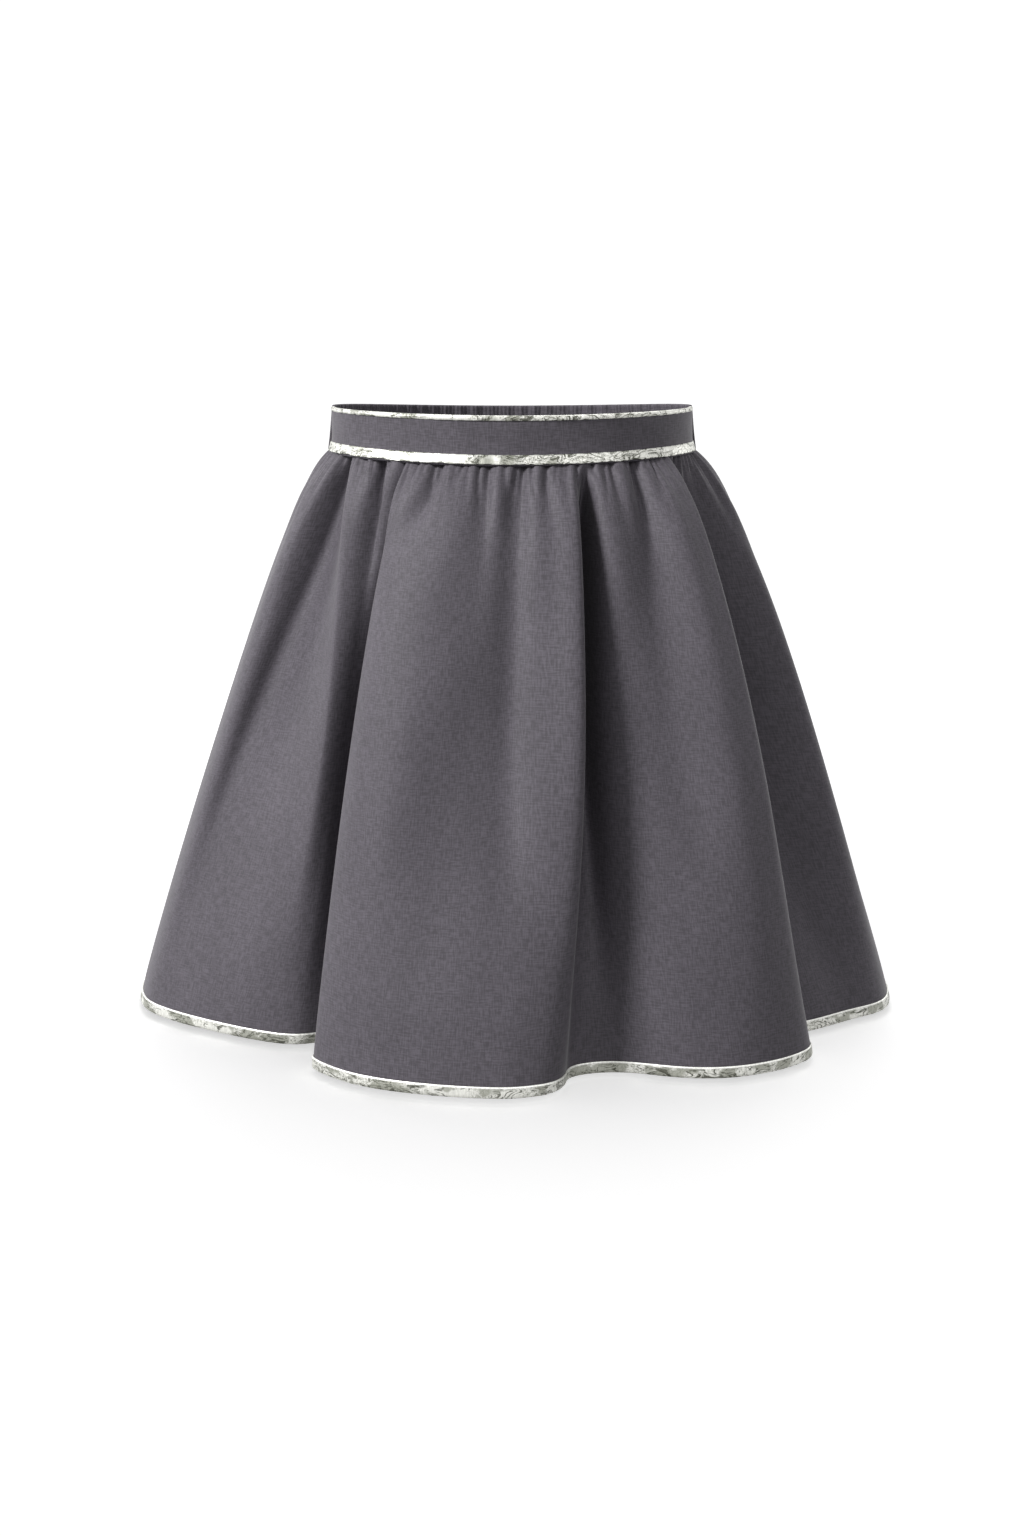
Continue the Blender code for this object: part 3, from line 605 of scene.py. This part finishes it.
def brocade(name, folded):
    """Silver jacquard brocade, woven with lame thread: off-white cloudy patches between grey ones,
    crossed by broken olive-grey veins like marble. Folded over an edge, it shows more of its grey
    ground, and a painted highlight: a bright line along its rounded upper edge."""
    material, tree = new_material(name)
    strip = add_node(tree, "ShaderNodeUVMap", {"uv_map": "cloth"}).outputs[0]
    grey = GREY_SHARE_FOLDED if folded else GREY_SHARE
    ground = mixed(tree, patches(tree, strip, BROCADE_GROUND, grey, grey + 0.05), "#9c9d94", "#d2d2cc")
    fine = contour(tree, strip, 25, BROCADE_OUTLINES, 0.05, 0.8)
    fine_kept = add_node(
        tree, "ShaderNodeMath", {"operation": "MULTIPLY"},
        {0: fine, 1: patches(tree, strip, OUTLINES_KEPT, 0.42, 0.50)},
    ).outputs[0]
    outlined = mixed(tree, fine_kept, ground, "#7c7d72")
    vein = contour(tree, strip, -38, BROCADE_VEINS, 0.055, 1.0)
    vein_kept = add_node(
        tree, "ShaderNodeMath", {"operation": "MULTIPLY"},
        {0: vein, 1: patches(tree, strip, VEINS_KEPT, 0.38, 0.43)},
    ).outputs[0]
    veined = mixed(tree, vein_kept, outlined, "#45463c")
    across = add_node(tree, "ShaderNodeSeparateXYZ", links={"Vector": strip}).outputs["Y"]
    # Painted highlight: a near-white line along the folded binding's rounded upper edge, where light catches
    # the fold
    edge_highlight = add_node(
        tree, "ShaderNodeMapRange", links={"Value": across},
        From_Min=HIGHLIGHT_FROM, From_Max=HIGHLIGHT_TO, To_Min=0.0, To_Max=0.85 * folded,
    ).outputs[0]
    edged = mixed(tree, edge_highlight, veined, "#efefea")
    threads = streaks(tree, strip, *BROCADE_THREADS, 1.0)
    speck = add_node(
        tree, "ShaderNodeMapRange", links={"Value": threads},
        From_Min=0.3, From_Max=0.7, To_Min=0.86, To_Max=1.05,
    ).outputs[0]
    colour = add_node(
        tree, "ShaderNodeMix", {"data_type": "RGBA", "blend_type": "MULTIPLY"}, {6: edged, 7: speck},
    )
    colour.inputs[0].default_value = 1.0
    bump = add_node(tree, "ShaderNodeBump", links={"Height": threads}, Strength=0.25, Distance=0.0002)
    shader = add_node(
        tree, "ShaderNodeBsdfPrincipled",
        links={"Base Color": colour.outputs[2], "Normal": bump.outputs[0]},
        Roughness=0.48, Metallic=0.7,
    )
    finish_material(tree, shader)
    return material


def thread():
    """Spun polyester sewing thread in silver white: matt, and finely flecked by its twist."""
    material, tree = new_material("silver_white_thread")
    place = add_node(tree, "ShaderNodeTexCoord").outputs["Object"]
    twist = add_node(
        tree, "ShaderNodeTexNoise", {}, {"Vector": place}, Scale=THREAD_TWIST, Detail=0.0,
    ).outputs["Fac"]
    colour = add_node(tree, "ShaderNodeMix", {"data_type": "RGBA"}, {0: twist})
    colour.inputs[6].default_value = linear("#d9dad4")
    colour.inputs[7].default_value = linear("#fbfbf8")
    shader = add_node(
        tree, "ShaderNodeBsdfPrincipled", links={"Base Color": colour.outputs[2]}, Roughness=0.6,
    )
    finish_material(tree, shader)
    return material


def floor_finish():
    """White acrylic of a light table, lit a little from below: matt, with hardly any grain."""
    material, tree = new_material("white_acrylic_light_table")
    place = add_node(tree, "ShaderNodeTexCoord").outputs["Object"]
    grain = add_node(
        tree, "ShaderNodeTexNoise", {}, {"Vector": place}, Scale=ACRYLIC_GRAIN, Detail=1.0,
    ).outputs["Fac"]
    bump = add_node(tree, "ShaderNodeBump", links={"Height": grain}, Strength=0.02, Distance=0.0002)
    shader = add_node(tree, "ShaderNodeBsdfPrincipled", links={"Normal": bump.outputs[0]}, Roughness=0.9)
    shader.inputs["Base Color"].default_value = linear("#f6f6f6")
    shader.inputs["Specular IOR Level"].default_value = 0.1
    shader.inputs["Emission Color"].default_value = linear("#ffffff")
    shader.inputs["Emission Strength"].default_value = FLOOR_GLOW
    finish_material(tree, shader)
    return material


def closed_up(points, ring, tube):
    """The points with a ring's first column, or a tube's first row, once more at the end."""
    if ring:
        points = np.concatenate([points, points[:, :1]], 1)
    if tube:
        points = np.concatenate([points, points[:1]])
    return points


def cloth_grid(points, flat, ring=False, tube=False):
    """A bmesh sheet whose rows and columns lie on the points, with flat cloth coordinates in metres.

    Seen from outside, rows run downwards and columns to the right. A ring's last column meets its
    first, and a tube's last row meets its first, as in a strip folded over an edge.
    """
    points = closed_up(points, ring, tube)
    rows, columns = points.shape[:2]
    sheet = bmesh.new()
    bmesh.ops.create_grid(sheet, x_segments=columns - 1, y_segments=rows - 1, size=1)
    uv = sheet.loops.layers.uv.new("cloth")
    places = [(rows - 1 - k // columns, k % columns) for k in range(rows * columns)]
    for vert, place in zip(sheet.verts, places):
        vert.co = points[place]
    for face in sheet.faces:
        for loop in face.loops:
            loop[uv].uv = flat[places[loop.vert.index]]
    if ring or tube:
        bmesh.ops.remove_doubles(sheet, verts=sheet.verts, dist=1e-7)
        ends = [edge for edge in sheet.edges if edge.is_boundary]
        if ends:
            bmesh.ops.holes_fill(sheet, edges=ends, sides=0)
    return sheet


def flat_lengths(points, ring=False, tube=False):
    """Each point's place on the flat strip: how far along it, and how far across it, in metres."""
    points = closed_up(points, ring, tube)
    middle = points[len(points) // 2]
    along = np.concatenate([[0], np.cumsum(np.linalg.norm(np.diff(middle, axis=0), axis=1))])
    column = points[:, 0]
    across = np.concatenate([[0], np.cumsum(np.linalg.norm(np.diff(column, axis=0), axis=1))])
    return np.stack(np.broadcast_arrays(along[None, :], -across[:, None]), -1)


def piece_from(sheet, name, material, node=None):
    """The finished piece on the part's one body, in place of the solid it stands for."""
    mesh = bpy.data.meshes.new(name)
    sheet.to_mesh(mesh)
    sheet.free()
    mesh.materials.append(material)
    mesh.shade_smooth()
    piece = bpy.data.objects.new(name, mesh)
    bpy.context.scene.collection.objects.link(piece)
    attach(piece, "root")
    if node:
        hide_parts(node)
    return piece


def skirt_panel(name, drape, start, end, material):
    """A panel of satin, from inside the waist seam down into the hem binding. Its columns are spread
    as evenly round the waist as along the hem, and its rows lie closer together near the waist."""
    along = np.linspace(start, end, SURVEY_COLUMNS)
    waist = drape.waist_degrees(along)
    spread = (along - along[0]) / np.ptp(along) + (waist - waist[0]) / np.ptp(waist)
    along = np.interp(np.linspace(0, 2, PANEL_COLUMNS + 1), spread, along)
    share = np.linspace(0, 1, PANEL_ROWS) ** 1.5
    down = TUCKED_IN + share * (1 - BINDING_COVERS - TUCKED_IN)
    points = drape.surface(along[None, :], down[:, None])
    flat = np.stack(np.broadcast_arrays(along[None, :], -down[:, None] * FULL_DROP), -1)
    panel = piece_from(cloth_grid(points, flat), name + "_cloth", material, name)
    wall = panel.modifiers.new("cloth thickness", "SOLIDIFY")
    wall.thickness = SATIN
    wall.offset = -1
    return panel


def waist_strip(degrees, profile):
    """Points of a strip round part of the waist, from rows of (distance out, level)."""
    outward = ring_outward(degrees)
    rows = []
    for out, level in profile:
        out = np.broadcast_to(out, degrees.shape)
        plan = waist_ring(degrees) + outward * out[:, None]
        rows.append(np.concatenate([plan, np.broadcast_to(level, degrees.shape)[:, None]], -1))
    return np.stack(rows)


def half_ring(start, columns):
    """Angles round half of the waist, from this one on."""
    return np.linspace(start, start + 180, columns + 1)


def band_out(share):
    """How far the front band stands out, by the share of the way down: nearly upright, then it
    turns out over the gathers."""
    return BAND_LEAN * share + (SEAM_FLARE - BAND_LEAN) * share**7


def sewn_wave(degrees, waves):
    """The slight waves that sewing leaves along a waist trim, two of unlike length so that none repeats."""
    (turns, height), (more_turns, lower) = waves
    wave = height * np.sin(np.radians(turns * degrees))
    return wave + lower * np.sin(np.radians(more_turns * degrees) + 1)


def strip_piece(degrees, section, name, material, node):
    """The piece of a strip with this section, closed to a tube, round half of the waist."""
    points = waist_strip(degrees, section)
    sheet = cloth_grid(points, flat_lengths(points, tube=True), tube=True)
    return piece_from(sheet, name, material, node)


def folded_band(top, bottom, thickness, out_at, rows):
    """A band's section: up the inside, over the folded top edge, and down the outside."""
    section = []
    for k in range(rows, 0, -1):
        share = k / rows
        section.append((out_at(share) - thickness, top + (bottom - top) * share))
    for k in range(EDGE_STEPS + 1):
        turn = math.pi * k / EDGE_STEPS
        middle = out_at(0.0) - thickness / 2
        out = middle - thickness / 2 * math.cos(turn)
        section.append((out, top - thickness / 2 * (1 - math.sin(turn))))
    for k in range(1, rows + 1):
        share = k / rows
        section.append((out_at(share), top + (bottom - top) * share))
    return section


def front_waistband(material):
    """The flat front band, with the faint ripples of a band that is stitched along both edges."""
    degrees = half_ring(-90, BAND_COLUMNS)

    def out_at(share):
        long_ripple = np.sin(np.radians(11 * degrees) + 5 * share)
        short_ripple = np.sin(np.radians(19 * degrees) - 7 * share)
        return band_out(share) + BAND_RIPPLE * (long_ripple + 0.7 * short_ripple)

    section = folded_band(front_top(degrees), seam_level(degrees) - FRONT_BAND_BELOW, BAND, out_at, BAND_ROWS)
    return strip_piece(degrees, section, "waistband_front_cloth", material, "waistband_front")


def back_waistband(material):
    """The casing round the elastic, drawn up into upright gathers with fine pleats between them."""
    degrees = half_ring(90, BACK_BAND_COLUMNS)
    round_to = np.radians(degrees - 90)
    length = (degrees - 90) / 180 * WAIST_ROUND / 2
    gathers = (1 - np.cos(2 * ELASTIC_RIBS * round_to + 0.8 * np.sin(9 * round_to))) / 2

    def out_at(share):
        wander = 1.3 * np.sin(7 * round_to + 2 * share) + 0.6 * np.sin(23 * round_to - 3 * share)
        fine = (1 - np.cos(2 * math.pi * length / FINE_RIB + wander)) / 2
        height = 0.75 + 0.25 * np.sin(17 * round_to + 2)
        stand = SEAM_COVER * share**3 + SEAM_FLARE * share
        return stand - ELASTIC_DEPTH * gathers * height - FINE_RIB_DEPTH * fine

    top = -BACK_TOP_CENTRE * centre_share(degrees)
    section = folded_band(top, seam_level(degrees) - BACK_BAND_BELOW, BAND, out_at, BACK_BAND_ROWS)
    return strip_piece(degrees, section, "waistband_back_cloth", material, "waistband_back")


def top_edge_trim(material):
    """A narrow strip folded over the front band's top edge."""
    degrees = half_ring(-90, 2 * BAND_COLUMNS)
    width = TOP_TRIM_SIDE + (TOP_TRIM_CENTRE - TOP_TRIM_SIDE) * centre_share(degrees)
    wave = sewn_wave(degrees, TOP_TRIM_WAVES)
    stand = trim_stand(degrees)
    section = []
    for out, share, down in TOP_TRIM_SECTION:
        out = (out * stand if out > 0 else out) * MM + wave * (out > 0)
        section.append((out, front_top(degrees) - share * width - down * MM + wave * share))
    return strip_piece(
        degrees, section, "trim_top_edge_brocade", material, "trim_top_edge",
    )


def waist_seam_trim(drape, material):
    """The strip over the front waist seam. Its lower edge rides on the gathers."""
    degrees = half_ring(-90, 2 * BAND_COLUMNS)
    press = drape.gather_depth(degrees, np.full_like(degrees, RIDE_BELOW))
    press = press - press.mean()
    wave = sewn_wave(degrees, SEAM_TRIM_WAVES)
    height = seam_level(degrees) - front_top(degrees)
    stand = trim_stand(degrees)
    section = []
    for out, share in SEAM_TRIM_SECTION:
        level = seam_level(degrees) + SEAM_TRIM * (1 - share) + wave * (2 * share - 1)
        under = band_out((level - front_top(degrees)) / height)
        out = under + out * MM * stand + wave - RIDE_IN * press * share
        section.append((out, level + RIDE_UP * press * share))
    return strip_piece(
        degrees, section, "trim_waist_seam_brocade", material, "trim_waist_seam",
    )


def binding_pucker(along):
    """The small waves that sewing leaves in the binding."""
    waves = np.sin(2 * math.pi * along / PUCKER + 2 * np.sin(along / PUCKER_WANDER))
    return PUCKER_HIGH * waves + PUCKER_LOWER * np.sin(2 * math.pi * along / PUCKER_LONGER + 1)


def hem_binding(drape, material):
    """One strip folded over the raw hem, all the way round."""
    along = np.linspace(0, drape.round, HEM_COLUMNS, endpoint=False)
    rows = []
    for up, out in BINDING_SECTION:
        down = np.full_like(along, 1 - up * MM / FULL_DROP)
        pucker = binding_pucker(along) * (1 if out > 0 else -1)
        rows.append(drape.lifted(along, down, out * MM + pucker)[0])
    points = np.stack(rows)
    sheet = cloth_grid(points, flat_lengths(points, ring=True, tube=True), ring=True, tube=True)
    return piece_from(sheet, "hem_binding_brocade", material, "hem_binding")


def hem_stitches(name, drape, out, material):
    """The lockstitch along the binding's upper edge: one bead of thread for each stitch."""
    count = round(drape.round / (STITCH_LENGTH + STITCH_GAP))
    along = (np.arange(count) + 0.5) * drape.round / count
    down = np.full_like(along, 1 - (HEM_BINDING - STITCH_INSET) / FULL_DROP)
    places, normals, across = drape.lifted(along, down, out + binding_pucker(along) * np.sign(out))
    bead = bmesh.new()
    bmesh.ops.create_uvsphere(bead, u_segments=6, v_segments=4, radius=1, matrix=LIE_DOWN)
    stitch = bpy.data.meshes.new("stitch")
    bead.to_mesh(stitch)
    bead.free()
    row = bmesh.new()
    for place, normal, heading in zip(places, normals, across):
        rise = np.cross(normal, heading)
        axes = heading * STITCH_LENGTH / 2, rise * STITCH_WIDE / 2, normal * STITCH_WIDE / 2
        matrix = Matrix.Translation(place)
        for k, axis in enumerate(axes):
            matrix.col[k][:3] = axis
        bead = stitch.copy()
        bead.transform(matrix)
        row.from_mesh(bead)
        bpy.data.meshes.remove(bead)
    bpy.data.meshes.remove(stitch)
    return piece_from(row, name, material)


def studio(floor_material):
    """A white light table just under the hem, a large soft key from the upper left, and white all round."""
    scene = bpy.context.scene
    sheet = bmesh.new()
    bmesh.ops.create_grid(sheet, x_segments=1, y_segments=1, size=FLOOR_HALF)
    bmesh.ops.translate(sheet, verts=sheet.verts, vec=(0, 0, HEM_LEVEL - FLOOR_BELOW_HEM))
    mesh = bpy.data.meshes.new("floor")
    sheet.to_mesh(mesh)
    sheet.free()
    mesh.materials.append(floor_material)
    floor = bpy.data.objects.new("floor", mesh)
    scene.collection.objects.link(floor)
    floor.visible_diffuse = False  # so that its glow doesn't light the skirt from below
    unlit = bpy.data.collections.new("light table")
    unlit.objects.link(floor)
    unlit.collection_objects[0].light_linking.link_state = "EXCLUDE"
    for name, azimuth, elevation, distance, size, power, on_floor in LIGHTS:
        lamp = bpy.data.lights.new(name, "AREA")
        lamp.shape = "DISK"
        lamp.size = size
        lamp.energy = power
        light = bpy.data.objects.new(name, lamp)
        turn, lift = math.radians(azimuth), math.radians(elevation)
        away = Vector((math.sin(turn) * math.cos(lift), -math.cos(turn) * math.cos(lift), math.sin(lift)))
        light.location = LIT_POINT + away * distance
        light.rotation_euler = away.to_track_quat("Z", "Y").to_euler()
        scene.collection.objects.link(light)
        if not on_floor:
            light.light_linking.receiver_collection = unlit
    world = bpy.data.worlds.new("white surroundings")
    world.use_nodes = True
    path = add_node(world.node_tree, "ShaderNodeLightPath").outputs
    seen = add_node(
        world.node_tree, "ShaderNodeMath", {"operation": "MAXIMUM"},
        {0: path["Is Camera Ray"], 1: path["Is Glossy Ray"]},
    ).outputs[0]
    strength = add_node(
        world.node_tree, "ShaderNodeMapRange", links={"Value": seen}, To_Min=FILL_STRENGTH, To_Max=WHITE,
    ).outputs[0]
    surroundings = world.node_tree.nodes["Background"]
    surroundings.inputs["Color"].default_value = (1, 1, 1, 1)
    world.node_tree.links.new(strength, surroundings.inputs["Strength"])
    scene.world = world
    scene.view_settings.view_transform = "Standard"
    camera = bpy.data.objects.new("camera", bpy.data.cameras.new("camera"))
    scene.collection.objects.link(camera)
    camera.data.lens = CAMERA_LENS
    camera.location = CAMERA_PLACE
    camera.rotation_euler = (math.radians(90 - CAMERA_DOWN), 0, 0)
    scene.camera = camera


def main():
    studio(floor_finish())
    drape = Drape()
    grey, silver, white = satin(), brocade("silver_lame_brocade", False), thread()
    # The hem binding's brocade, with a painted highlight along its rounded upper edge
    binding_silver = brocade("silver_lame_brocade_folded", True)
    front = skirt_panel("skirt_front", drape, 0.0, drape.side, grey)
    back = skirt_panel("skirt_back", drape, drape.side, drape.round, grey)
    band_front = front_waistband(grey)
    band_back = back_waistband(grey)
    top_trim = top_edge_trim(silver)
    seam_trim = waist_seam_trim(drape, silver)
    binding = hem_binding(drape, binding_silver)
    outer_row = hem_stitches("hem_stitches_outside", drape, STITCHES_OUT, white)
    inner_row = hem_stitches("hem_stitches_inside", drape, STITCHES_IN, white)
    front_hem = drape.side
    back_hem = drape.round - drape.side
    for panel, hem, with_pieces in (
        (front, front_hem, [seam_trim, binding, outer_row, inner_row]),
        (back, back_hem, []),
    ):
        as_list(with_pieces)


main()
